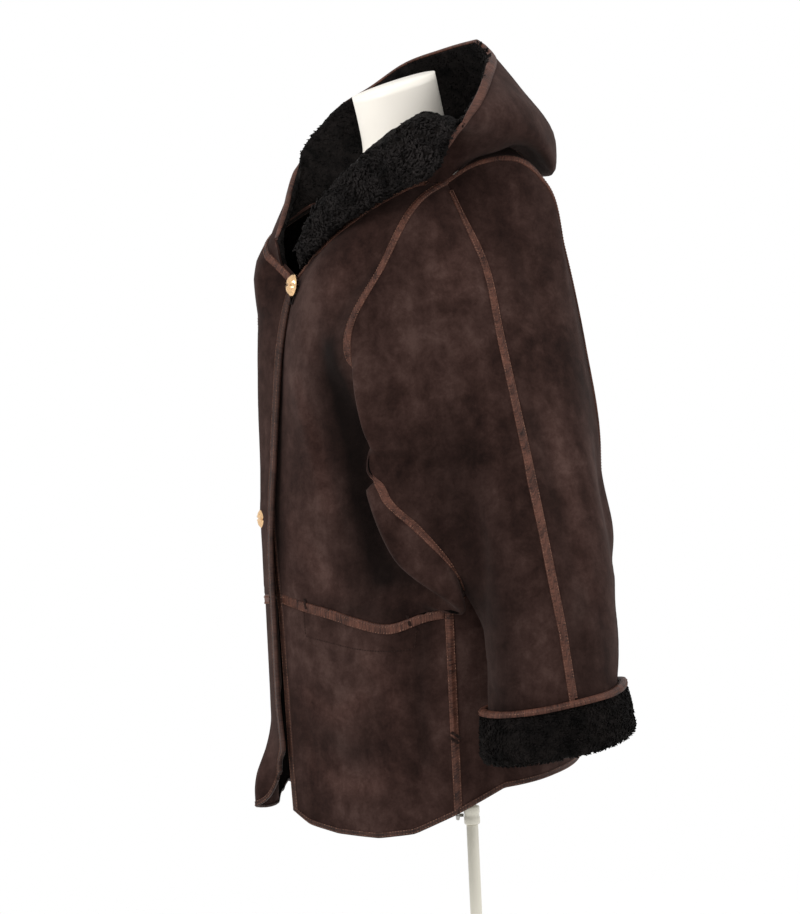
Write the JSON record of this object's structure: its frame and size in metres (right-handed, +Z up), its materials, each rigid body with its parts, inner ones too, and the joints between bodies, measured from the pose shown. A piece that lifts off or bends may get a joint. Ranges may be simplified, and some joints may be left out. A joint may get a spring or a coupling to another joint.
{
  "type": "hooded shearling coat on a limbless dress form with a pole stand",
  "caption": "Hip-length suede coat with a rolled hood of dark wool, turned-back wool cuffs and leather seam strips, on a limbless dress form with a pole and round base.",
  "frame": {"origin": "centre of the stand's base, on the floor", "axes": "+Z up along the pole, -Y towards the coat's front, +X towards the coat's own left side"},
  "size_m": [0.7748, 0.4601, 1.5999],
  "materials": {
    "suede": "napped, mottled",
    "strip": "smooth, waxed",
    "fur": "curly clipped wool",
    "button": "polished, banded",
    "cord": "plain",
    "form": "satin",
    "stand": "satin ivory",
    "clamp": "satin",
    "screw": "dull"
  },
  "bodies": {
    "root": {"front_upper_L": "suede", "front_lower_L": "suede", "sleeve_front_L": "suede", "sleeve_back_L": "suede", "hood_L": "suede", "front_upper_R": "suede", "front_lower_R": "suede", "sleeve_front_R": "suede", "sleeve_back_R": "suede", "hood_R": "suede", "back": "suede", "hood_fur_L": "fur", "cuff_L": "fur", "hood_fur_R": "fur", "cuff_R": "fur", "strip_armhole_L": "strip", "strip_sleeve_L": "strip", "strip_side_L": "strip", "strip_pocket_L": "strip", "strip_edge_L": "strip", "strip_neck_L": "strip", "strip_hem_L": "strip", "strip_cuff_L": "strip", "strip_armhole_R": "strip", "strip_sleeve_R": "strip", "strip_side_R": "strip", "strip_pocket_R": "strip", "strip_edge_R": "strip", "strip_neck_R": "strip", "strip_hem_R": "strip", "strip_cuff_R": "strip", "strip_hem_back": "strip", "strip_hood_rim": "strip", "strip_hood_centre": "strip", "button_top": "button", "button_mid": "button", "loop_top": "cord", "form": "form", "base": "stand", "pole_lower": "stand", "pole_upper": "stand", "pole_clamp": "clamp", "thumb_screw": "screw"}
  },
  "joints": []
}
